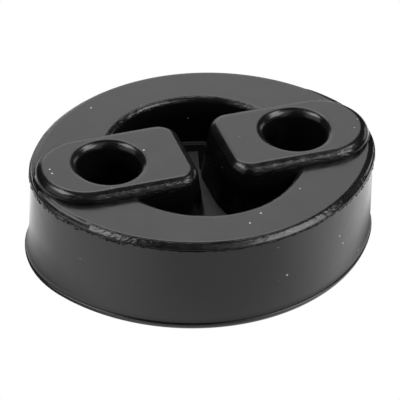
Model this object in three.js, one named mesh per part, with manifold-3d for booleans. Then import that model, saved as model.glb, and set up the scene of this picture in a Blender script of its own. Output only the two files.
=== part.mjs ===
// An exhaust hanger rubber, in millimetres, +Z up. It is one moulding: an oval ring with two bosses that reach in
// from its ends across a round opening. A hanger rod goes through the bore of each boss, and the ring stretches
// between the two rods. The origin is under the middle of the part, on the plane that the bosses stand on.

import * as THREE from 'three';
import { mergeVertices } from 'three/addons/utils/BufferGeometryUtils.js';
import Module from 'manifold-3d';

const wasm = await Module();
wasm.setup();

// Bores
const boreDiameter = 12;
const boreSpacing = 38;
const boreEdge = 1.5;

// Ring, measured round the cap that the mould's top plate makes: the side wall starts a small step inside it
const ringLength = 68.9;
const ringWidth = 56.7;
const ringHeight = 20;
const ringEndRadius = 20;
const ringEdge = 2;
const capHeight = 1.25;
const ringDraft = 1.6;
const capStep = 0.35;
const capStepHeight = 0.25;

// Lip that runs round the foot of the side wall
const lipProud = 0.4;
const lipEdge = 1.1;
const lipRim = 0.25;
const lipBlend = 1.4;

// Round opening, measured at the top of the ring, and the ledge that the mould leaves half way down it
const openingDiameter = 37.4;
const openingEdge = 1.5;
const ledgeDiameter = 32.7;
const ledgeThickness = 0.5;

// Bosses, measured at the top of the ring
const bossWidth = 20;
const bossGap = 5.8;
const bossCorner = 4.6;
const bossCornerMiddle = 7.8;
const bossInset = 0.85;
const bossProud = 2.1;
const bossEdge = 2;

// Web that joins the bosses half way down, with an end that shows on each side of them
const webDiameter = 27;
const webThickness = 2;
const webSpread = 21;
const webEdge = 0.5;
const webSeat = 1;

// Walls of the opening and of the bosses lean together towards the middle of the height
const coreDraft = 8;

// Facets
const filletSteps = 4;
const lipSteps = 3;
const cornerSteps = 6;
const endSteps = 16;
const sideSteps = 20;
const tipSteps = 16;
const openingSteps = 64;
const boreSteps = 40;

const cutPast = 1;

const ringBottom = bossProud;
const ringTop = ringBottom + ringHeight;
const bossTop = ringTop + bossProud;
const middle = bossTop / 2;

const slope = ( degrees ) => Math.tan( THREE.MathUtils.degToRad( degrees ) );

// How far a boss's walls have moved out half way down
const middleOffset = ( ringTop - middle ) * slope( coreDraft );

/** Points along an arc. */
function arc( x, y, radius, from, to, steps ) {

	return new THREE.EllipseCurve( x, y, radius, radius, from, to, to < from ).getPoints( steps );

}

/** A closed solid from a geometry, for cutting and joining. */
function solid( geometry ) {

	geometry.deleteAttribute( 'normal' );
	geometry.deleteAttribute( 'uv' );
	const merged = mergeVertices( geometry, 1e-4 );
	return new wasm.Manifold( new wasm.Mesh( {
		numProp: 3,
		vertProperties: new Float32Array( merged.attributes.position.array ),
		triVerts: new Uint32Array( merged.index.array ),
	} ) );

}

/** A solid that runs through one outline at each point of a profile: x of the profile is the outline's offset. */
function loft( profile, outlineAt ) {

	const rings = profile.map( ( { x } ) => outlineAt( x ) );
	const count = rings[ 0 ].length;
	const vertices = rings.flatMap( ( ring, level ) => ring.flatMap( ( p ) => [ p.x, p.y, profile[ level ].y ] ) );
	const triangles = [];
	for ( let level = 0; level < rings.length - 1; level ++ ) {

		for ( let i = 0; i < count; i ++ ) {

			const a = level * count + i;
			const b = level * count + ( i + 1 ) % count;
			triangles.push( a, b, b + count, a, b + count, a + count );

		}

	}

	const top = ( rings.length - 1 ) * count;
	THREE.ShapeUtils.triangulateShape( rings[ 0 ], [] ).forEach( ( [ a, b, c ] ) => triangles.push( a, c, b ) );
	THREE.ShapeUtils.triangulateShape( rings.at( - 1 ), [] )
		.forEach( ( [ a, b, c ] ) => triangles.push( top + a, top + b, top + c ) );
	const geometry = new THREE.BufferGeometry();
	geometry.setAttribute( 'position', new THREE.Float32BufferAttribute( vertices, 3 ) );
	geometry.setIndex( triangles );
	return solid( geometry );

}

/** A solid of revolution round an upright axis at x. */
function turned( profile, x, steps ) {

	const geometry = new THREE.LatheGeometry( profile, steps );
	geometry.rotateX( Math.PI / 2 );
	geometry.translate( x, 0, 0 );
	return solid( geometry );

}

/** The same profile mirrored to the lower half of the part, then the profile itself. */
function bothHalves( upper ) {

	const lower = upper.map( ( p ) => new THREE.Vector2( p.x, 2 * middle - p.y ) ).reverse();
	return [ ...lower, ...upper ];

}

/** The ring's outline: an oval of two end arcs and two side arcs that meet smoothly, as the wall's top moved out. */
function ringOutline( offset ) {

	const endCentre = ringLength / 2 - ringEndRadius;
	const half = ringWidth / 2;
	const sideRadius = ( endCentre ** 2 + half ** 2 - ringEndRadius ** 2 ) / ( 2 * ( half - ringEndRadius ) );
	const sideCentre = sideRadius - half;
	const join = Math.atan2( sideCentre, endCentre );
	const end = ringEndRadius + offset;
	const side = sideRadius + offset;
	return [
		arc( endCentre, 0, end, - join, join, endSteps ),
		arc( 0, - sideCentre, side, join, Math.PI - join, sideSteps ),
		arc( - endCentre, 0, end, Math.PI - join, Math.PI + join, endSteps ),
		arc( 0, sideCentre, side, Math.PI + join, 2 * Math.PI - join, sideSteps ),
	].flatMap( ( points ) => points.slice( 1 ) );

}

/** The ring before it is opened: underside edge, lip, leaning side wall, cap and top edge. */
function ringBody() {

	const capFoot = ringTop - capHeight;
	const wallTop = capFoot - capStepHeight;
	const wallFoot = ringBottom + lipEdge + lipRim + lipBlend;
	const footOffset = ( wallTop - wallFoot ) * slope( ringDraft ) - capStep;
	const lipOffset = footOffset + lipProud;
	const blend = new THREE.EllipseCurve( lipOffset, wallFoot, lipProud, lipBlend, - Math.PI / 2, - Math.PI, true );
	const edge = new THREE.EllipseCurve( - ringEdge, capFoot, ringEdge, capHeight, 0, Math.PI / 2 );
	const profile = [
		...arc( lipOffset - lipEdge, ringBottom + lipEdge, lipEdge, - Math.PI / 2, 0, lipSteps ),
		...blend.getPoints( lipSteps ),
		new THREE.Vector2( - capStep, wallTop ),
		...edge.getPoints( filletSteps ),
	];
	return loft( profile, ringOutline );

}

/** The round opening, narrowed half way down by the ledge. */
function opening() {

	const radius = openingDiameter / 2;
	const ledgeTop = middle + ledgeThickness / 2;
	const wallAt = ( z ) => radius - ( ringTop - z ) * slope( coreDraft );
	const mouth = wallAt( ringTop - openingEdge );
	const upper = [
		new THREE.Vector2( ledgeDiameter / 2, ledgeTop ),
		new THREE.Vector2( wallAt( ledgeTop ), ledgeTop ),
		...arc( mouth + openingEdge, ringTop - openingEdge, openingEdge, Math.PI, Math.PI / 2, filletSteps ),
		new THREE.Vector2( mouth + openingEdge, bossTop + cutPast ),
		new THREE.Vector2( 0, bossTop + cutPast ),
	];
	return turned( bothHalves( upper ), 0, openingSteps );

}

/** One boss's outline: round corners at its inner end, which open out below the ring's top, and a half round tip. */
function bossOutline( offset ) {

	const half = bossWidth / 2 + offset;
	const inner = bossGap / 2 - offset;
	const opened = Math.max( offset, 0 ) / middleOffset;
	const corner = bossCorner + Math.min( offset, 0 ) + opened * ( bossCornerMiddle - bossCorner );
	// Below the ring's top the tip lies inside the ring and grows no further
	const tip = ringLength / 2 - bossInset + Math.min( offset, 0 );
	return [
		...arc( tip - half, 0, half, - Math.PI / 2, Math.PI / 2, tipSteps ),
		...arc( inner + corner, half - corner, corner, Math.PI / 2, Math.PI, cornerSteps ),
		...arc( inner + corner, corner - half, corner, Math.PI, 1.5 * Math.PI, cornerSteps ),
	];

}

/** One boss before it is bored, standing proud of the ring above and below. */
function boss() {

	const edgeFoot = bossTop - bossEdge;
	const edgeOffset = ( ringTop - edgeFoot ) * slope( coreDraft );
	const upper = [
		new THREE.Vector2( middleOffset, middle ),
		new THREE.Vector2( 0, ringTop ),
		...arc( edgeOffset - bossEdge, edgeFoot, bossEdge, 0, Math.PI / 2, filletSteps ),
	];
	const profile = bothHalves( upper );
	profile.splice( upper.length, 1 );
	return loft( profile, bossOutline );

}

/** One bore, right through a boss, with a rounded mouth at each end. */
function bore( side ) {

	const radius = boreDiameter / 2;
	const upper = [
		...arc( radius + boreEdge, bossTop - boreEdge, boreEdge, Math.PI, Math.PI / 2, filletSteps ),
		new THREE.Vector2( radius + boreEdge, bossTop + cutPast ),
		new THREE.Vector2( 0, bossTop + cutPast ),
	];
	return turned( bothHalves( upper ), side * boreSpacing / 2, boreSteps );

}

/** The web: a strip between the bosses that spreads to a round end in front of them and behind them. */
function web() {

	const spread = THREE.MathUtils.degToRad( webSpread );
	const half = bossGap / 2 - middleOffset + webSeat;
	const waist = half / Math.tan( spread );
	const outline = new THREE.Shape();
	outline.absarc( 0, 0, webDiameter / 2, Math.PI / 2 - spread, Math.PI / 2 + spread );
	outline.lineTo( - half, waist );
	outline.lineTo( - half, - waist );
	outline.absarc( 0, 0, webDiameter / 2, 1.5 * Math.PI - spread, 1.5 * Math.PI + spread );
	outline.lineTo( half, - waist );
	outline.lineTo( half, waist );
	const geometry = new THREE.ExtrudeGeometry( outline, {
		depth: webThickness - 2 * webEdge,
		curveSegments: cornerSteps,
		bevelThickness: webEdge,
		bevelSize: webEdge,
		bevelOffset: - webEdge,
		bevelSegments: lipSteps,
	} );
	geometry.translate( 0, 0, middle - webThickness / 2 + webEdge );
	return solid( geometry );

}

const rightBoss = boss();
const leftBoss = rightBoss.mirror( [ 1, 0, 0 ] );
const rubber = ringBody()
	.subtract( opening() )
	.add( rightBoss )
	.add( leftBoss )
	.add( web() )
	.subtract( bore( 1 ) )
	.subtract( bore( - 1 ) );

const { vertProperties, triVerts } = rubber.getMesh();
const rubberGeometry = new THREE.BufferGeometry();
rubberGeometry.setAttribute( 'position', new THREE.BufferAttribute( vertProperties, 3 ) );
rubberGeometry.setIndex( new THREE.BufferAttribute( triVerts, 1 ) );
rubberGeometry.computeVertexNormals();

const blackRubber = new THREE.MeshStandardMaterial( { color: 0x232425, roughness: 0.62, metalness: 0 } );
const hangerRubber = new THREE.Mesh( rubberGeometry, blackRubber );
hangerRubber.name = 'hanger_rubber';

const part = new THREE.Group();
part.add( hangerRubber );

export default part;
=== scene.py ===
# %% [markdown]
# # An exhaust hanger rubber
# The real part is one black rubber moulding. An oval ring, about 70 mm long, carries two thick bosses that reach in
# from its ends across a round opening. A hanger rod goes through the bore of each boss, and the ring stretches between
# them. This lesson models that moulding again with more detail than the CAD solid holds: the torn flash that the mould
# leaves round the cap, the soft edges, and a black rubber with dust on it.
#
# The frame is the imported CAD part, and it is loaded first. It is loaded first, because everything made here has to
# fit inside its box.

import math

import bpy
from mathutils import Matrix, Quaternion, Vector


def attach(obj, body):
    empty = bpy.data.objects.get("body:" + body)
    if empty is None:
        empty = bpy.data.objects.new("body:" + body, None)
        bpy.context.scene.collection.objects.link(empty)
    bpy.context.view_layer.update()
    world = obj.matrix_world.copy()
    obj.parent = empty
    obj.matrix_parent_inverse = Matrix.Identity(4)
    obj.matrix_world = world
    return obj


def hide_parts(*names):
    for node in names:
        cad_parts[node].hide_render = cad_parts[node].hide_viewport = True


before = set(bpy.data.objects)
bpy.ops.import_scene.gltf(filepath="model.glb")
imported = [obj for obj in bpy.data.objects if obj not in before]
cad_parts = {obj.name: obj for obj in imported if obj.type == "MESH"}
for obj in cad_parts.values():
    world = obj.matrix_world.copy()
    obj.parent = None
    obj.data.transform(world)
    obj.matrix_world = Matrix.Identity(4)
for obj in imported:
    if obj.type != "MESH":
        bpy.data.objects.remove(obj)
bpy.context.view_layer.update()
mm = 0.001

# %% [markdown]
# ## The camera
# The photograph was taken with a long lens from the front left, looking down at about 37 degrees, so the far and near
# edges of the oval are almost parallel. The camera could be placed by eye, but an angle, a height and a distance from
# the point it looks at say the same thing more clearly, and each can be corrected alone. It is made first, because
# every later choice is judged through it.

# %% Camera
camera_angle = math.radians(20.26)
camera_height = math.radians(37.42)
camera_roll = math.radians(2.32)
camera_distance = 561.9 * mm
camera_lens = 256.4
look_at = Vector((1.2, 3.69, 7.96)) * mm

towards_camera = Vector(
    (
        -math.sin(camera_angle) * math.cos(camera_height),
        -math.cos(camera_angle) * math.cos(camera_height),
        math.sin(camera_height),
    )
)
camera_data = bpy.data.cameras.new("photo_camera")
camera_data.lens = camera_lens
camera_data.clip_start = 10 * mm
camera = bpy.data.objects.new("photo_camera", camera_data)
bpy.context.scene.collection.objects.link(camera)
bpy.context.scene.camera = camera
camera.location = look_at + towards_camera * camera_distance
camera.rotation_mode = "QUATERNION"
camera.rotation_quaternion = (-towards_camera).to_track_quat("-Z", "Y") @ Quaternion((0, 0, 1), camera_roll)
print("camera at", [round(c, 4) for c in camera.location])

# %% [markdown]
# ## The heights of the moulding
# A mould maker works from a drawing, and so does this lesson. The heights come first, because every piece shares them:
# the part stands on its two bosses, which are a little taller than the ring, above and below. Each other size is given
# in the step that first needs it. What follows from a size is worked out from it, so that changing one size changes
# every piece that depends on it.

# %% Heights
ring_height = 20 * mm
boss_proud = 2.1 * mm
ring_bottom = boss_proud
ring_top = ring_bottom + ring_height
boss_top = ring_top + boss_proud
middle = boss_top / 2
print("height over the bosses:", round(boss_top / mm, 2), "mm")

# %% [markdown]
# ## The ring's profile
# The ring is an oval hoop, and one profile describes it all the way round. Read from the bottom, the profile is: the
# rounded underside, the lip, the hollow above the lip, the leaning wall, a small step, and the cap that overhangs the
# wall. The cap's edge could be one round bevel, but on the real part it is a small arc, a straight slant and a larger
# arc, and only that gives the bright line that runs along it. The ring is measured round the cap, and the profile is a
# list of points: how far out from there, and how high.

# %% Ring sizes
ring_length = 68.9 * mm
ring_width = 56.7 * mm
ring_end_radius = 20 * mm
ring_draft = math.radians(1.6)

ring_edge = 1.6 * mm
edge_radius = 1.3 * mm
cap_height = 1.05 * mm
cap_slant = math.radians(38)
cap_step = 0.35 * mm
cap_step_height = 0.25 * mm

lip_proud = 0.4 * mm
lip_edge = 1.1 * mm
lip_rim = 0.25 * mm
lip_blend = 1.4 * mm

cap_foot = ring_top - cap_height
wall_top = cap_foot - cap_step_height
wall_foot = ring_bottom + lip_edge + lip_rim + lip_blend
foot_out = (wall_top - wall_foot) * math.tan(ring_draft) - cap_step
lip_out = foot_out + lip_proud
print("the wall is", round((wall_top - wall_foot) / mm, 2), "mm high and its foot", round(foot_out / mm, 2), "mm out")


# %% Lip
def arc(centre, radius, start, end, steps):
    """Points of an arc as (out, up) pairs, in degrees: 0 points out and 90 points up. Two radii make it an ellipse."""
    across, upward = radius if isinstance(radius, tuple) else (radius, radius)
    angles = [math.radians(start + (end - start) * i / steps) for i in range(steps + 1)]
    return [(centre[0] + across * math.cos(a), centre[1] + upward * math.sin(a)) for a in angles]


lip_steps = 8
lip = arc((lip_out - lip_edge, ring_bottom + lip_edge), lip_edge, -90, 0, lip_steps)
lip += arc((lip_out, wall_foot), (lip_proud, lip_blend), -90, -180, lip_steps)
print("lip has", len(lip), "points")


# %% Top edge
top_edge_steps = 10


def soft_bevel(foot, across, down, top_radius, slant, steps):
    """Points of an edge from its upright foot to the flat above: a small arc, a straight slant and a larger arc."""
    rest_across = across - top_radius * math.sin(slant)
    rest_down = down - top_radius * (1 - math.cos(slant))
    room = 1 - math.sin(slant)
    foot_radius = (rest_down * math.cos(slant) - rest_across * math.sin(slant)) / room
    lower = arc((foot[0] - foot_radius, foot[1]), foot_radius, 0, 90 - math.degrees(slant), steps // 2)
    upper_centre = (foot[0] - across, foot[1] + down - top_radius)
    return lower + arc(upper_centre, top_radius, 90 - math.degrees(slant), 90, steps)


top_edge = soft_bevel((0, cap_foot), ring_edge, cap_height, edge_radius, cap_slant, top_edge_steps)
print("top edge has", len(top_edge), "points")

# %% Ring profile
wall_rows = 8
wall = [
    (
        foot_out + (-cap_step - foot_out) * row / wall_rows,
        wall_foot + (wall_top - wall_foot) * row / wall_rows,
    )
    for row in range(1, wall_rows + 1)
]
ring_profile = lip + wall + top_edge
print("ring profile has", len(ring_profile), "points")

# %% [markdown]
# ## Three moves that make the ring
# Nearly every surface of a moulding is a profile carried along a path, because that is how the mould is machined. By
# hand it takes three moves. A line is drawn by extruding one vertex from point to point. Spin carries the line round
# an arc. Then the seams are merged, the open ends are filled and the faces are pointed outwards.
#
# The ring's oval is four arcs that run smoothly into each other: a tight arc at each end and a flat one along each
# side. A stretched circle would be quicker, but its wall would change thickness on the way round, and a real mould is
# cut as arcs. As the oval is the same on both sides and at both ends, only a quarter is swept, and the rest is its
# mirror image.


# %% Draw the profile as a line
def extrude_by(step):
    """Extrudes what is selected by a step."""
    bpy.ops.mesh.extrude_region_move(TRANSFORM_OT_translate={"value": step})


def draw_line(name, points):
    """A new mesh that is one line through the points. It stays in edit mode, all selected."""
    bpy.ops.object.select_all(action="DESELECT")
    bpy.ops.mesh.primitive_plane_add(size=mm, location=points[0])
    piece = bpy.context.object
    piece.name = piece.data.name = name
    bpy.ops.object.transform_apply(location=True, rotation=True, scale=True)
    bpy.ops.object.mode_set(mode="EDIT")
    bpy.ops.mesh.merge(type="CENTER")
    for here, there in zip(points, points[1:]):
        extrude_by(Vector(there) - Vector(here))
    bpy.ops.mesh.select_all(action="SELECT")
    return piece


ring = draw_line("ring", [(ring_length / 2 + out, 0, up) for out, up in ring_profile])
print("a line for the", ring.name, "is drawn at its right end")

# %% The oval's four arcs
end_centre = ring_length / 2 - ring_end_radius
half_width = ring_width / 2
side_radius = (end_centre**2 + half_width**2 - ring_end_radius**2) / (2 * (half_width - ring_end_radius))
side_centre = side_radius - half_width
join_angle = math.atan2(side_centre, end_centre)
side_angle = math.pi - 2 * join_angle
end_steps = 52
side_steps = 192
print("an end arc turns", round(math.degrees(2 * join_angle)), "degrees and a side arc the rest of the half turn")


# %% Sweep a quarter of the ring
def sweep(centre, angle, steps):
    """Spins what is selected round an upright axis, anticlockwise from above. The last copy stays selected."""
    bpy.ops.mesh.spin(steps=steps, angle=-angle, center=(centre[0], centre[1], 0), axis=(0, 0, 1))


def sweep_quarter(piece, fineness=1):
    """Sweeps a line at the right end of the oval round to the middle of its back, and leaves edit mode."""
    sweep((end_centre, 0), join_angle, fineness * end_steps)
    sweep((0, -side_centre), side_angle / 2, fineness * side_steps)
    bpy.ops.object.mode_set(mode="OBJECT")
    print("a quarter of the", piece.name, "has", len(piece.data.polygons), "faces")


sweep_quarter(ring)


# %% Mirror the quarter and close the ring
def mirror_over(piece, x=False, y=False, z=False):
    """Adds the mirror image over the middle of each named axis and joins it where the halves meet."""
    mirror = piece.modifiers.new("Mirror", "MIRROR")
    mirror.use_axis = (x, y, z)
    mirror.merge_threshold = 0.002 * mm
    bpy.ops.object.modifier_apply(modifier=mirror.name)


def close_up(piece):
    """Merges the seams, fills the open ends, points the faces outwards and leaves edit mode."""
    bpy.ops.object.mode_set(mode="EDIT")
    bpy.ops.mesh.select_all(action="SELECT")
    bpy.ops.mesh.remove_doubles(threshold=0.002 * mm)
    bpy.ops.mesh.fill_holes(sides=0)
    bpy.ops.mesh.normals_make_consistent(inside=False)
    bpy.ops.object.mode_set(mode="OBJECT")
    print(piece.name, "has", len(piece.data.polygons), "faces")


mirror_over(ring, x=True, y=True)
close_up(ring)

# %% [markdown]
# ## Torn flash
# The mould's two plates meet just under the cap, and a little rubber is squeezed out between them. This flash is torn
# off by hand, so its edge is ragged. It is worst at the two ends, where the mould wears most, and nearly gone along
# the sides. It could be part of the ring's profile, but it needs finer steps than the ring does. So it is a thin closed
# strip of its own, swept round the same oval and joined on at the end.
#
# Modelling the tears one by one would take a day. A Displace modifier moves vertices by a noise pattern, and a vertex
# group says which vertices may move and how far. So four patterns, from coarse to fine, tear the whole strip at once.
# Its root stays in the wall and only its edge is free.

# %% Flash profile
flash_rows = [
    (-0.60, 0.10, 0),
    (-0.60, -0.45, 0),
    (-0.38, -0.50, 0.3),
    (-0.16, -0.70, 0.9),
    (-0.04, -0.80, 1),
    (0.02, -0.76, 1),
    (-0.01, -0.58, 0.85),
    (-0.05, -0.38, 0.6),
    (-0.11, -0.18, 0.3),
    (-0.20, -0.04, 0),
]
closed_rows = flash_rows + flash_rows[:1]
flash = draw_line("flash", [(ring_length / 2 + out * mm, 0, cap_foot + up * mm) for out, up, _ in closed_rows])
sweep_quarter(flash, fineness=2)
mirror_over(flash, x=True, y=True)
close_up(flash)


# %% Say which part of the flash is free
def ramp(value, start, length):
    """0 up to the start, rising evenly to 1 over the length."""
    return min(1, max(0, (value - start) / length))


def row_looseness(place):
    """How freely a point of the flash moves: not at its root, and fully at its edge."""
    return {round(up, 2): loose for _, up, loose in flash_rows}[round((place.z - cap_foot) / mm, 2)]


def towards_end(place):
    """0 along the sides, rising to 1 at the two ends."""
    return ramp(abs(place.x) / (ring_length / 2), 0.55, 0.35)


def weigh(piece, name, weight_at):
    """A vertex group whose weight comes from each vertex's place."""
    group = piece.vertex_groups.new(name=name)
    weights = {vertex.index: weight_at(vertex.co) for vertex in piece.data.vertices}
    for index, weight in weights.items():
        if weight > 0:
            group.add([index], weight, "REPLACE")
    print(piece.name, name, "holds", sum(weight > 0 for weight in weights.values()), "vertices")


weigh(flash, "trimmed", lambda place: row_looseness(place) * (1 - towards_end(place)))
weigh(flash, "torn", lambda place: row_looseness(place) * (0.35 + 0.65 * towards_end(place)))

# %% [markdown]
# ## A sunk end
# Thick rubber cools last and shrinks most, and it never leaves its mould quite even. On this part the left end has sunk
# by a third of a millimetre, above the lip. The ring's vertices could be moved by hand, but the Displace modifier that
# tears the flash can do it too: without a pattern it moves a whole group alike, and the group's weights let the dent
# fade out. The ring and the flash are moved together, so that they still fit.


# %% Sink the left end
def sunk_end(place):
    """1 at the left end above the lip, fading towards the sides and towards the lip."""
    return ramp(place.z - wall_foot, 0, 2 * mm) * ramp(-place.x, 24 * mm, 8 * mm)


def displace(piece, group, strength, direction, size=None, still=0.5, detail=2):
    """Moves a group's vertices and applies it: all alike, or by a cloud pattern whose lumps have this size.

    still is the value of the pattern, from 0 to 1, that moves nothing.
    """
    modifier = piece.modifiers.new("Displace", "DISPLACE")
    modifier.vertex_group = group
    modifier.direction = direction
    modifier.strength = strength
    modifier.mid_level = 0
    if size:
        pattern = bpy.data.textures.new(f"{group}_pattern", "CLOUDS")
        pattern.noise_scale = size
        pattern.noise_depth = detail
        pattern.cloud_type = "COLOR" if direction == "RGB_TO_XYZ" else "GRAYSCALE"
        modifier.texture = pattern
        modifier.texture_coords = "LOCAL"
        modifier.mid_level = still
    bpy.context.view_layer.objects.active = piece
    bpy.ops.object.modifier_apply(modifier=modifier.name)


sink = 0.38 * mm
for piece in (ring, flash):
    weigh(piece, "sunk_end", sunk_end)
    displace(piece, "sunk_end", strength=sink, direction="X")
    print(piece.name, "sinks by", round(sink / mm, 2), "mm at its left end")

# %% Trim the flash along the sides and tear its edge
displace(flash, "trimmed", strength=0.45 * mm, direction="Z")
displace(flash, "torn", strength=1.3 * mm, direction="Z", size=1.7 * mm, still=0.62)
displace(flash, "torn", strength=0.4 * mm, direction="RGB_TO_XYZ", size=1.0 * mm)
displace(flash, "torn", strength=0.4 * mm, direction="RGB_TO_XYZ", size=0.33 * mm)
displace(flash, "torn", strength=0.5 * mm, direction="Z", size=0.4 * mm)
drops = [cap_foot - v.co.z for v in flash.data.vertices]
print("flash hangs down to", round(max(drops) / mm, 2), "mm below the cap")

# %% [markdown]
# ## The opening
# The round hole in the middle is made by two cores that meet half way down, one in each half of the mould. Each core
# is a little narrower towards the middle, so that the rubber lets go of it, and where the two meet the mould leaves a
# thin ledge. A hole can be modelled into a mesh face by face, but it also crosses the bosses later, so it is easier to
# turn the cores as one solid, like a lathe does, and to cut with it.

# %% Opening sizes
opening_diameter = 37.4 * mm
opening_edge = 1.5 * mm
ledge_diameter = 32.7 * mm
ledge_thickness = 0.5 * mm
ledge_edge = 0.2 * mm
ledge_blend = 0.3 * mm
core_draft = math.radians(8)


def core_wall(up):
    """The opening's radius at a height, in its upper half."""
    return opening_diameter / 2 - (ring_top - up) * math.tan(core_draft)


ledge_top = middle + ledge_thickness / 2
mouth_foot = ring_top - opening_edge
mouth = core_wall(mouth_foot)
print("the ledge stands", round((core_wall(ledge_top) - ledge_diameter / 2) / mm, 2), "mm out of the wall")


# %% Turn the core
def both_halves(upper):
    """The profile of an upper half, with its mirror image below the middle in front of it."""
    return [(out, 2 * middle - up) for out, up in reversed(upper)] + upper


def turned(name, profile, steps):
    """A solid of revolution round the upright axis through the origin."""
    piece = draw_line(name, [(out, 0, up) for out, up in profile])
    sweep((0, 0), 2 * math.pi, steps)
    close_up(piece)
    return piece


past = 1 * mm
core_rows = 6
wall_levels = [ledge_top + (mouth_foot - ledge_top) * row / core_rows for row in range(1, core_rows)]
core = turned(
    "opening_core",
    both_halves(
        arc((ledge_diameter / 2 + ledge_edge, ledge_top - ledge_edge), ledge_edge, 180, 90, 4)
        + arc((core_wall(ledge_top) - ledge_blend, ledge_top + ledge_blend), ledge_blend, -90, 0, 4)
        + [(core_wall(up), up) for up in wall_levels]
        + arc((mouth + opening_edge, mouth_foot), opening_edge, 180, 90, 8)
        + [(mouth + opening_edge, boss_top + past)]
    ),
    steps=320,
)


# %% Cut the opening
def combine(piece, other, operation):
    """Cuts the other solid out of the piece, or joins it on, and removes it."""
    modifier = piece.modifiers.new(operation, "BOOLEAN")
    modifier.operation = operation
    modifier.solver = "MANIFOLD"
    modifier.object = other
    bpy.context.view_layer.objects.active = piece
    bpy.ops.object.modifier_apply(modifier=modifier.name)
    bpy.data.objects.remove(other)
    print(piece.name, "has", len(piece.data.polygons), "faces after", operation.lower())


combine(ring, core, "DIFFERENCE")

# %% [markdown]
# ## The bosses
# Each boss has a half round tip that follows the ring's end and a square inner end with rounded corners. Its walls lean
# outwards towards the middle of the height. On the way down the corners open out and the gap between the bosses
# narrows, so the outline in the middle is not just a larger copy of the one at the top. A box with bevelled edges can't
# do that. Here both outlines are drawn with the same number of vertices and bridged, and the rounded top edge is made
# by insetting the top face step by step. Only a quarter is modelled: a Mirror modifier makes the lower halves and the
# other boss. On the real part the pair sits a little to the right, so it is shifted before it is joined on.

# %% Boss outlines
boss_width = 19.4 * mm
boss_gap = 6.3 * mm
boss_gap_middle = 2.1 * mm
boss_corner = 4.3 * mm
boss_corner_middle = 7.8 * mm
boss_inset = 0.85 * mm
boss_edge = 2 * mm
boss_shift = 0.25 * mm
middle_out = (ring_top - middle) * math.tan(core_draft)
tip_steps = 96
corner_steps = 28


def draw_boss_outline(name, out, gap, corner, up):
    """The outline of the right boss at a height, as one closed line."""
    half = boss_width / 2 + out
    inner = gap / 2
    tip_centre = ring_length / 2 - boss_inset - half
    outline = draw_line(name, [(tip_centre, -half, up)])
    sweep((tip_centre, 0), math.pi, tip_steps)
    extrude_by((inner + corner - tip_centre, 0, 0))
    sweep((inner + corner, half - corner), math.pi / 2, corner_steps)
    extrude_by((0, 2 * (corner - half), 0))
    sweep((inner + corner, corner - half), math.pi / 2, corner_steps)
    extrude_by((tip_centre - inner - corner, 0, 0))
    bpy.ops.mesh.select_all(action="SELECT")
    bpy.ops.mesh.remove_doubles(threshold=0.002 * mm)
    bpy.ops.object.mode_set(mode="OBJECT")
    print(name, "has", len(outline.data.vertices), "vertices")
    return outline


middle_outline = draw_boss_outline("middle_outline", middle_out, boss_gap_middle, boss_corner_middle, 0)
bosses = draw_boss_outline("bosses", 0, boss_gap, boss_corner, ring_top - middle)

# %% Bridge the outlines
middle_outline.select_set(True)
bpy.ops.object.join()
bpy.ops.object.mode_set(mode="EDIT")
bpy.ops.mesh.select_all(action="SELECT")
bpy.ops.mesh.bridge_edge_loops(number_cuts=8, interpolation="LINEAR")
bpy.ops.object.mode_set(mode="OBJECT")
print("the boss's wall has", len(bosses.data.polygons), "faces")


# %% Round the top edge
def select_at_height(piece, up, reach=0.001 * mm):
    """Selects the vertices at one height, and the edges and faces between them."""
    bpy.ops.object.mode_set(mode="OBJECT")
    for vertex in piece.data.vertices:
        vertex.select = abs(vertex.co.z - up) < reach
    for edge in piece.data.edges:
        edge.select = all(piece.data.vertices[i].select for i in edge.vertices)
    for face in piece.data.polygons:
        face.select = all(piece.data.vertices[i].select for i in face.vertices)
    bpy.ops.object.mode_set(mode="EDIT")


select_at_height(bosses, ring_top - middle)
bpy.ops.mesh.edge_face_add()
edge_foot = boss_top - boss_edge
edge_out = (ring_top - edge_foot) * math.tan(core_draft)
levels = [(0, ring_top)] + arc((edge_out - boss_edge, edge_foot), boss_edge, 0, 90, 14)
for (out, up), (next_out, next_up) in zip(levels, levels[1:]):
    bpy.ops.mesh.inset(thickness=out - next_out, depth=next_up - up, use_even_offset=True)
bpy.ops.object.mode_set(mode="OBJECT")
tallest = max(v.co.z for v in bosses.data.vertices)
print("boss rises", round((tallest + middle) / mm, 3), "mm above the underside")

# %% Mirror the quarter and put it in its place
mirror_over(bosses, x=True, z=True)
bpy.ops.object.mode_set(mode="EDIT")
bpy.ops.mesh.select_all(action="SELECT")
bpy.ops.transform.translate(value=(boss_shift, 0, middle))
close_up(bosses)
combine(ring, bosses, "UNION")

# %% [markdown]
# ## Soft feet at the boss tips
# At the two ends of the part the boss and the cap almost share an edge, and the real mould has a soft hollow there, not
# a sharp corner. A bevel needs one clean edge to follow, and here two curved surfaces meet at a shallow angle. So the
# corner is relaxed with a Smooth modifier instead. A vertex group keeps it to the tips, and it moves nothing up or
# down, so the flat faces stay flat.


# %% Blend the boss tips into the cap
def at_tip(place):
    """1 round the foot of a boss's tip, fading towards the sides and towards the flats."""
    near_foot = max(0, 1 - abs(place.z - ring_top) / (0.9 * mm))
    return ramp(abs(place.x), 27 * mm, 4 * mm) * min(1, 2 * near_foot)


blend_steps = 70
weigh(ring, "tips", at_tip)
blend = ring.modifiers.new("Smooth", "SMOOTH")
blend.vertex_group = "tips"
blend.factor = 0.5
blend.iterations = blend_steps
blend.use_z = False
bpy.ops.object.modifier_apply(modifier=blend.name)
print("tips blended into the cap in", blend_steps, "small steps")

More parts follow.
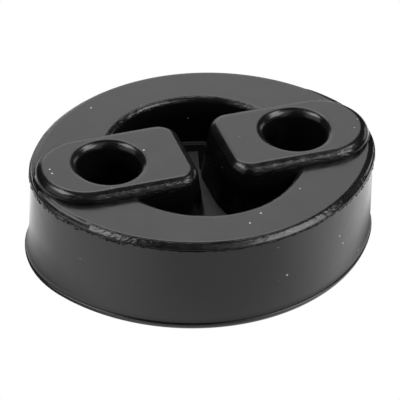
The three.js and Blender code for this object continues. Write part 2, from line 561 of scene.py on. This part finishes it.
# %% [markdown]
# ## The web
# The two cores of the mould don't quite touch between the bosses, so a thin web of rubber joins them half way down. It
# is a narrow strip that spreads to a round end in front and behind, seen only as a dark tongue at the bottom of the
# gap. It could be one outline that is filled and extruded, but then its round ends and its hidden sides would get the
# same bevel. So one end is a short sweep, extruded to the web's thickness. Only its round rim is bevelled, it is
# mirrored to the back, and a plain strip joins the two.

# %% Sweep one end of the web
web_diameter = 27 * mm
web_thickness = 2 * mm
web_spread = math.radians(16)
web_edge = 0.5 * mm
web_seat = 1 * mm

strip_half = boss_gap_middle / 2 + web_seat
waist = strip_half / math.tan(web_spread)
web_start = math.pi / 2 - web_spread
web_foot = middle - web_thickness / 2
web_side = [(r * math.cos(web_start), r * math.sin(web_start), web_foot) for r in (waist, web_diameter / 2)]
web = draw_line("web", web_side)
sweep((0, 0), 2 * web_spread, 40)
bpy.ops.mesh.select_all(action="SELECT")
extrude_by((0, 0, web_thickness))
print("the web's strip is", round(2 * strip_half / mm, 2), "mm wide")


# %% Bevel its round rim
def select_edges(piece, wanted):
    """Selects the edges whose two ends pass a test, and nothing else. Leaves the piece in edit mode."""
    bpy.ops.object.mode_set(mode="EDIT")
    bpy.ops.mesh.select_mode(type="EDGE")
    bpy.ops.mesh.select_all(action="DESELECT")
    bpy.ops.object.mode_set(mode="OBJECT")
    for edge in piece.data.edges:
        edge.select = wanted(*[piece.data.vertices[i].co for i in edge.vertices])
    print(piece.name, "has", sum(edge.select for edge in piece.data.edges), "edges selected")
    bpy.ops.object.mode_set(mode="EDIT")


def on_round_end(one, other):
    """True for an edge that runs round the end of the web, above or below."""
    rim = web_diameter / 2 - 0.01 * mm
    return one.xy.length > rim and other.xy.length > rim and abs(one.z - other.z) < web_edge


select_edges(web, on_round_end)
bpy.ops.mesh.bevel(offset=web_edge, segments=5)
bpy.ops.mesh.select_mode(type="VERT")
close_up(web)

# %% Join both ends and the strip between them
mirror_over(web, y=True)
combine(ring, web, "UNION")

bpy.ops.object.select_all(action="DESELECT")
strip_size = (2 * strip_half, 2 * waist + 1 * mm, web_thickness)
bpy.ops.mesh.primitive_cube_add(size=1, location=(0, 0, middle), scale=strip_size)
strip = bpy.context.object
strip.name = "web_strip"
bpy.ops.object.transform_apply(location=True, rotation=True, scale=True)
combine(ring, strip, "UNION")

# %% [markdown]
# ## The bores
# The pins that form the bores leave a round mouth at each end. They go through the finished body last, so one cut
# makes the hole and its soft edge together. One pin is turned on the middle axis, moved to its place, mirrored from one
# side to the other and cut out of both bosses at once. The flash is joined on after that, as nothing cuts it.

# %% Turn the pins
bore_diameter = 12 * mm
bore_spacing = 38 * mm
bore_edge = 1.85 * mm
bore_radius = bore_diameter / 2
pin_rows = 5
pin_reach = boss_top - bore_edge - middle
pins = turned(
    "pins",
    both_halves(
        [(bore_radius, middle + pin_reach * row / pin_rows) for row in range(1, pin_rows)]
        + arc((bore_radius + bore_edge, boss_top - bore_edge), bore_edge, 180, 90, 10)
        + [(bore_radius + bore_edge, boss_top + past)]
    ),
    steps=160,
)

# %% Cut the bores and join the flash
bpy.ops.object.mode_set(mode="EDIT")
bpy.ops.mesh.select_all(action="SELECT")
bpy.ops.transform.translate(value=(bore_spacing / 2, 0, 0))
bpy.ops.object.mode_set(mode="OBJECT")
mirror_over(pins, x=True)
combine(ring, pins, "DIFFERENCE")
combine(ring, flash, "UNION")

# %% [markdown]
# ## Smooth shading
# A moulding has soft edges but flat faces. Smooth shading alone would bend the light across the flats, because each
# vertex takes the average of the faces round it. Smoothing only below 30 degrees keeps the creases, and a Weighted
# Normal modifier lets the large faces decide, so that the flats shade flat right up to their rounded edges.

# %% Shade the moulding
moulded_rubber = ring
moulded_rubber.name = moulded_rubber.data.name = "moulded_rubber"
bpy.ops.object.select_all(action="DESELECT")
moulded_rubber.select_set(True)
bpy.context.view_layer.objects.active = moulded_rubber
bpy.ops.object.shade_smooth_by_angle(angle=math.radians(30))
weighted = moulded_rubber.modifiers.new("Weighted Normal", "WEIGHTED_NORMAL")
weighted.keep_sharp = True
weighted.weight = 100
bpy.ops.object.modifier_apply(modifier=weighted.name)
moulded_rubber.data.calc_loop_triangles()
print("moulding has", len(moulded_rubber.data.loop_triangles), "triangles")

# %% [markdown]
# ## Black rubber
# The rubber is filled with soot, so almost no light comes back from inside it: what the eye sees is the dull gloss of
# its skin. One black with one roughness would look like plastic from a catalogue. The real skin carries the fine grain
# of the mould's steel, shrinks into broad soft waves, wrinkles on the sides of the bosses, is duller on the ledge and
# web inside the opening, and holds specks of dust. Each of these is a noise pattern of its own on Object coordinates,
# in millimetres, so every scale below is a real size that can be checked against a ruler. Inside the opening the colour
# is also made almost black: that is painted shade, for the shadow deep in the cavity.

# %% Material tools
black_rubber = bpy.data.materials.new("black_rubber")
black_rubber.use_nodes = True
rubber = black_rubber.node_tree
shader = rubber.nodes["Principled BSDF"]


def add_node(tree, kind, name, inputs=None, **settings):
    """A named node in a tree. Each input takes a value, or another node's output to be linked to it."""
    made = tree.nodes.new("ShaderNode" + kind)
    made.name = made.label = name
    for setting, value in settings.items():
        setattr(made, setting, value)
    for socket, value in (inputs or {}).items():
        if isinstance(value, bpy.types.NodeSocket):
            tree.links.new(value, made.inputs[socket])
        else:
            made.inputs[socket].default_value = value
    return made


def calculate(name, operation, *values):
    """The result of one arithmetic operation on values of the rubber, such as a product or a maximum."""
    return add_node(rubber, "Math", name, dict(enumerate(values)), operation=operation).outputs["Value"]


def between(name, value, low, high, to_low=0.0, to_high=1.0):
    """Maps a value of the rubber from one range to another and keeps it inside."""
    inputs = {"Value": value, "From Min": low, "From Max": high, "To Min": to_low, "To Max": to_high}
    return add_node(rubber, "MapRange", name, inputs).outputs["Result"]


coordinates = add_node(rubber, "TexCoord", "coordinates").outputs
to_mm = add_node(rubber, "Mapping", "to_mm", {"Vector": coordinates["Object"], "Scale": (1 / mm,) * 3})
place_mm = to_mm.outputs["Vector"]
split_place = add_node(rubber, "SeparateXYZ", "split_place", {"Vector": place_mm}).outputs
split_normal = add_node(rubber, "SeparateXYZ", "split_normal", {"Vector": coordinates["Normal"]}).outputs
print("the material reads its place in mm, with", len(rubber.nodes), "nodes so far")

# %% [markdown]
# ## Where the skin differs
# Three areas of the moulding have a skin of their own: the walls inside the opening, which the cores formed, the ledge
# and the web between them, and the steep sides of the bosses, where thick rubber has shrunk. Each could get its own
# material, but the borders would be as sharp as the mesh's edges. A mask that is worked out from the place and from
# the way the surface faces can fade, and it follows when a size above is changed.

# %% Inside the opening
flat_place = add_node(rubber, "VectorMath", "flat_place", {0: place_mm, 1: (1, 1, 0)}, operation="MULTIPLY")
off_axis = add_node(rubber, "VectorMath", "off_axis", {0: flat_place.outputs["Vector"]}, operation="LENGTH")
core_radius_mm = opening_diameter / 2 / mm
ring_top_mm = ring_top / mm
in_opening = between("in_opening", off_axis.outputs["Value"], core_radius_mm + 0.2, core_radius_mm - 0.6)
below_top = between("below_top", split_place["Z"], ring_top_mm - 0.8, ring_top_mm - 3)
# This mask also darkens the colour further down: painted shade for the cavity, besides the duller ledge and web.
in_recess = calculate("in_recess", "MULTIPLY", in_opening, below_top)
print("the recess begins", round(core_radius_mm, 1), "mm from the middle")

# %% On the bosses' steep sides
rounded = between("rounded", split_normal["Z"], 0.93, 0.75)
off_middle = calculate("off_middle", "ABSOLUTE", split_place["Y"])
beside_bores = between("beside_bores", off_middle, 8, 8.8)
above_ring = between("above_ring", split_place["Z"], ring_top_mm - 1.5, ring_top_mm)
boss_side = calculate("boss_side", "MULTIPLY", beside_bores, above_ring)
on_boss_side = calculate("on_boss_side", "MULTIPLY", boss_side, rounded)
print("the bosses' sides are told by place and slope")

# %% [markdown]
# ## Gloss
# Moulded rubber is neither matt nor shiny: it mirrors large bright things softly. The gloss comes and goes in patches,
# because hands and the mould have polished some places more than others. A painted map could hold that, but two noises,
# one with lumps of 5 mm and one with lumps under 1 mm, need no painting and never repeat. The ledge and the web face
# up where dirt collects, so they are much duller.


# %% Roughness
def lumps(name, size, detail=2, place=None):
    """A soft noise whose lumps are about this size in mm, from 0 to 1."""
    inputs = {"Vector": place or place_mm, "Scale": 1 / size, "Detail": detail}
    return add_node(rubber, "TexNoise", name, inputs).outputs["Fac"]


soft_patches = lumps("soft_patches", size=5, detail=3)
fine_patches = calculate("fine_share", "MULTIPLY", lumps("fine_patches", size=0.7), 0.5)
patchy = calculate("patchy", "ADD", soft_patches, fine_patches)
skin_roughness = between("skin_roughness", patchy, 0.55, 0.95, 0.16, 0.25)
ledge_roughness = between("ledge_roughness", split_normal["Z"], 0.4, 0.8, 0.04, 0.4)
recess_roughness = calculate("recess_roughness", "MULTIPLY", in_recess, ledge_roughness)
roughness = calculate("roughness", "ADD", skin_roughness, recess_roughness)
print("roughness runs from 0.16 to 0.25, and 0.4 more on the ledge")

# %% [markdown]
# ## Grain, waves and wrinkles
# Under a raking light the skin is not quite smooth. Broad shrink waves bend the reflections, faint upright marks are
# left where the rubber slid out of the mould, and the mould's steel leaves a grain that the eye only just sees. The
# sides of the bosses have wrinkles that run along them. Modelled, this would take millions of faces for heights of a
# fraction of a millimetre. Bump nodes tilt the shading by the same heights instead, one after the other.


# %% Bumps
def raise_skin(name, height, distance, under=None):
    """Adds a height pattern, in mm, to the normals made so far."""
    inputs = {"Height": height, "Distance": distance * mm}
    if under:
        inputs["Normal"] = under
    return add_node(rubber, "Bump", name, inputs).outputs["Normal"]


def stretched(name, scale):
    """The place in mm, squeezed so that a pattern on it comes out stretched."""
    return add_node(rubber, "Mapping", name, {"Vector": place_mm, "Scale": scale}).outputs["Vector"]


wrinkle_lumps = lumps("wrinkle_lumps", size=0.8, detail=3, place=stretched("long_place", (0.4, 1, 1.5)))
wrinkles = calculate("wrinkles", "MULTIPLY", wrinkle_lumps, on_boss_side)
draw_mark_lumps = lumps("draw_mark_lumps", size=0.9, place=stretched("upright_place", (1, 1, 0.12)))
wave_height = 0.035
draw_mark_height = 0.006
grain_height = 0.0025
wrinkle_height = 0.22
skin = raise_skin("waves", lumps("wave_lumps", size=3.5, detail=1), wave_height)
skin = raise_skin("draw_marks", draw_mark_lumps, draw_mark_height, skin)
skin = raise_skin("grain", lumps("grain_lumps", size=0.22), grain_height, skin)
skin = raise_skin("edge_wrinkles", wrinkles, wrinkle_height, skin)
print("waves are", wave_height, "mm high and wrinkles", wrinkle_height, "mm")

# %% [markdown]
# ## Dust
# Black rubber shows every speck. Small ones lie scattered, some areas more than others, and a few large ones lie where
# anyone looking at the part would see them. Scattering small meshes would work, but they would have to rest on every
# curve. A Voronoi pattern puts one point in each cell of 1.6 mm, and only the cells that draw a high number get a
# speck, the higher the larger. The large ones are named and placed.

# %% Scattered dust
speck_cells = add_node(rubber, "TexVoronoi", "speck_cells", {"Vector": place_mm, "Scale": 1 / 1.6})
speck_random = add_node(rubber, "SeparateXYZ", "speck_random", {"Vector": speck_cells.outputs["Color"]}).outputs
speck_size = between("speck_size", speck_random["X"], 0.8, 1, 0.0, 0.16)
speck_edge = calculate("speck_edge", "SUBTRACT", speck_size, speck_cells.outputs["Distance"])
scattered = between("scattered", speck_edge, 0, 0.02)
dusty_area = between("dusty_area", lumps("dusty_area_lumps", size=9, detail=1), 0.48, 0.6)
dust = calculate("scattered_dust", "MULTIPLY", scattered, dusty_area)
print("one cell in five can hold a speck")

# %% Large specks
large_specks = {
    "on the ring behind the left boss": (-16.2, 20.7, 22.1),
    "beside the left bore": (-11.4, 1.8, 24.2),
    "on the ring in front": (1.5, -23, 22.1),
    "on the ring near the opening": (4.5, -20.7, 22.1),
    "on the front wall": (7.9, -27.4, 11.5),
    "near the front edge": (5.7, -27.8, 18.8),
    "on the right wall": (20.5, -21.9, 13.9),
    "low on the right wall": (21.6, -21.2, 11.4),
}
for spot, speck in large_specks.items():
    away = add_node(rubber, "VectorMath", "speck " + spot, {0: place_mm, 1: speck}, operation="DISTANCE")
    round_speck = between("round " + spot, away.outputs["Value"], 0.26, 0.14)
    dust = calculate("and " + spot, "MAXIMUM", dust, round_speck)
print("dust:", len(large_specks), "large specks")

# %% [markdown]
# ## Colour
# The rubber is not pure black outside: a thin film of dust and bloom lifts it a little where the surface faces up.
# Inside the opening the colour is made almost black: that is painted shade, for the shadow deep in the cavity. The
# colours are layered with film on rubber, painted shade over it in the recess and dust on top, so each Mix node is one
# layer.


# %% Put the skin together
def layered(name, mask, under, over):
    """A colour with another one over it where the mask is 1."""
    # A Mix node has several sockets called A, B and Result. Those for colours are number 6, 7 and 2.
    return add_node(rubber, "Mix", name, {"Factor": mask, 6: under, 7: over}, data_type="RGBA").outputs[2]


upward_patches = calculate("upward_patches", "MULTIPLY", soft_patches, split_normal["Z"])
film = between("film", upward_patches, 0.2, 0.6)
colour = layered("film_colour", film, (0.004, 0.004, 0.0042, 1), (0.008, 0.008, 0.0082, 1))
# Painted shade: inside the opening the colour is made almost black, for the shadow deep in the cavity.
colour = layered("painted_recess_shade", in_recess, colour, (0.0008, 0.0008, 0.0008, 1))
colour = layered("dust_colour", dust, colour, (0.4, 0.4, 0.39, 1))
dusty_roughness = calculate("dusty_roughness", "MAXIMUM", roughness, dust)
rubber.links.new(colour, shader.inputs["Base Color"])
rubber.links.new(dusty_roughness, shader.inputs["Roughness"])
rubber.links.new(skin, shader.inputs["Normal"])
shader.inputs["IOR"].default_value = 1.45
moulded_rubber.data.materials.clear()
moulded_rubber.data.materials.append(black_rubber)
print("material on", moulded_rubber.name, "with", len(rubber.nodes), "nodes")

# %% [markdown]
# ## Telling the frame
# The frame has to know which CAD piece this mesh stands for. The moulding is rigid and rides on the root body, it
# takes the place of the one CAD solid, and it keeps that solid's material slot.

# %% Tell the frame what the piece is
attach(moulded_rubber, "root")
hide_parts("hanger_rubber")

# %% [markdown]
# ## The floor
# The photograph is a cut-out: the rubber stands on pure white with no shadow. What it was lit by can still be read in
# its gloss. The walls mirror a bright table that ends a hand's width away, darker close round the part and dimmer in
# front, where the camera took some of the light. A lit white plane would show none of that, so the floor glows by a
# pattern instead: plain white paper where the camera looks at it, and the table with its two shades for every other
# ray. The plane lies a hair under the part, so that it never lies in one plane with the bosses' undersides.

# %% Lay the floor
paper_white = 1.0
hair = 0.02 * mm
bpy.ops.object.select_all(action="DESELECT")
bpy.ops.mesh.primitive_plane_add(size=6, location=(0, 0, -hair))
floor = bpy.context.object
floor.name = "white_floor"
white = bpy.data.materials.new("white_floor")
white.use_nodes = True
paper = white.node_tree
paper.nodes.clear()
floor_place = add_node(paper, "TexCoord", "floor_place").outputs["Object"]
floor.data.materials.append(white)
print("floor is", round(floor.dimensions.x), "m wide")


# %% The table
def away_from(name, centre):
    """How far a point of the floor is from a centre."""
    inputs = {0: floor_place, 1: centre}
    return add_node(paper, "VectorMath", name, inputs, operation="DISTANCE").outputs["Value"]


def fading(name, distance, reach, fade, inside, outside):
    """One value up to a reach and another beyond the fade, with a smooth change between."""
    inputs = {"Value": distance, "From Min": reach, "From Max": reach + fade, "To Min": inside, "To Max": outside}
    return add_node(paper, "MapRange", name, inputs, interpolation_type="SMOOTHSTEP").outputs["Result"]


def product(name, one, other):
    """Two values of the floor multiplied."""
    return add_node(paper, "Math", name, {0: one, 1: other}, operation="MULTIPLY").outputs["Value"]


table_reach = 78 * mm
table_fade = 60 * mm
table_away = away_from("table_away", Vector((18, -2, 0)) * mm)
table = fading("table", table_away, table_reach, table_fade, inside=1.4, outside=0.12)
print("the table is bright for", round(table_reach / mm), "mm and fades over", round(table_fade / mm), "mm")

# %% The part's shade and the camera's
shade_stretch = 1.6
squeezed = add_node(paper, "Mapping", "squeezed", {"Vector": floor_place, "Scale": (1 / shade_stretch, 1, 1)})
part_away = add_node(paper, "VectorMath", "part_away", {0: squeezed.outputs["Vector"]}, operation="LENGTH")
part_shade = fading("part_shade", part_away.outputs["Value"], 22 * mm, 7 * mm, inside=0.04, outside=1)
camera_away = away_from("camera_away", Vector((-4, -62, 0)) * mm)
camera_shade = fading("camera_shade", camera_away, 20 * mm, 32 * mm, inside=0.68, outside=1)
mirrored_table = product("mirrored_table", table, product("shades", part_shade, camera_shade))
print("the part's shade is", shade_stretch, "times as long as it is wide")

# %% White for the camera
floor_ray = add_node(paper, "LightPath", "floor_ray").outputs["Is Camera Ray"]
floor_glow = add_node(paper, "Mix", "floor_glow", {"Factor": floor_ray, "A": mirrored_table, "B": paper_white})
glow = add_node(paper, "Emission", "glow", {"Strength": floor_glow.outputs["Result"]})
add_node(paper, "OutputMaterial", "surface", {"Surface": glow.outputs["Emission"]})
print("floor material has", len(paper.nodes), "nodes")

# %% [markdown]
# ## The softboxes
# Soft light from large panels is what makes black rubber readable: each flat face and each edge mirrors one of them.
# The flat tops mirror the wall of light behind the part, and their front edges the brighter strip above it. Higher and
# smaller panels on the left and right light the rounded edges, and low, weak ones keep the dark sides from going flat.
# A panel's brightness is given for its surface, so a panel can be made larger without its reflection getting brighter.


# %% Softboxes
def softbox(name, angle, height, width, tall, brightness, distance=0.9):
    """A softbox that faces the part, at an angle anticlockwise from +X and a height above the horizon, in degrees."""
    turn, rise = math.radians(angle), math.radians(height)
    away = Vector((math.cos(turn) * math.cos(rise), math.sin(turn) * math.cos(rise), math.sin(rise)))
    data = bpy.data.lights.new(name, "AREA")
    data.shape = "RECTANGLE"
    data.size, data.size_y = width, tall
    data.energy = brightness * math.pi * width * tall
    light = bpy.data.objects.new(name, data)
    bpy.context.scene.collection.objects.link(light)
    light.location = Vector((0, 0, middle)) + away * distance
    light.rotation_mode = "QUATERNION"
    light.rotation_quaternion = (-away).to_track_quat("-Z", "Y")
    print(name, "shines", round(data.energy, 1), "W")


# Angle and height in degrees, width and tallness in metres, then brightness
softbox("back_softbox", 79, 42, 0.62, 0.84, 1.75)
softbox("back_top_softbox", 79, 58, 0.6, 0.26, 2)
softbox("back_low_softbox", 82, 7, 0.7, 0.35, 1)
softbox("left_softbox", 172, 56, 0.46, 0.38, 7)
softbox("left_fill", -172, 22, 0.9, 0.75, 0.9)
softbox("right_softbox", -36, 40, 0.55, 0.5, 5.5)
softbox("right_top_softbox", -8, 56, 0.36, 0.25, 6)
softbox("right_low_softbox", 22, 8, 0.4, 0.35, 1.2)
softbox("front_fill", -70, 38, 0.4, 1.15, 0.7)

# %% [markdown]
# ## The room
# Between the softboxes the rubber mirrors the room: dim near the horizon, lighter at head height and dark above. That
# is a ramp of greys over the height. A picture of a room would do it too, but the part is too dull to show more than
# that. What the camera sees behind the part is white, as on the floor.

# %% The room's greys
world = bpy.data.worlds.new("studio")
bpy.context.scene.world = world
world.use_nodes = True
room = world.node_tree
sky_place = add_node(room, "TexCoord", "sky_place").outputs["Generated"]
sky_height = add_node(room, "SeparateXYZ", "sky_height", {"Vector": sky_place}).outputs["Z"]
bands = add_node(room, "ValToRGB", "bands", {"Fac": sky_height})
bands.color_ramp.interpolation = "EASE"
bands.color_ramp.elements.remove(bands.color_ramp.elements[1])
for height, grey in ((8, 0.12), (22, 0.26), (64, 0.26), (72, 0.06)):
    band = bands.color_ramp.elements.new(math.sin(math.radians(height)))
    band.color = (grey, grey, grey, 1)
bands.color_ramp.elements[0].color = (0.1, 0.1, 0.1, 1)
room_ray = add_node(room, "LightPath", "room_ray").outputs["Is Camera Ray"]
room_inputs = {"Factor": room_ray, "A": bands.outputs["Color"], "B": paper_white}
room_glow = add_node(room, "Mix", "room_glow", room_inputs).outputs["Result"]
room.links.new(room_glow, room.nodes["Background"].inputs["Strength"])
bpy.context.scene.view_settings.view_transform = "Standard"
print("room has", len(bands.color_ramp.elements), "bands of grey")
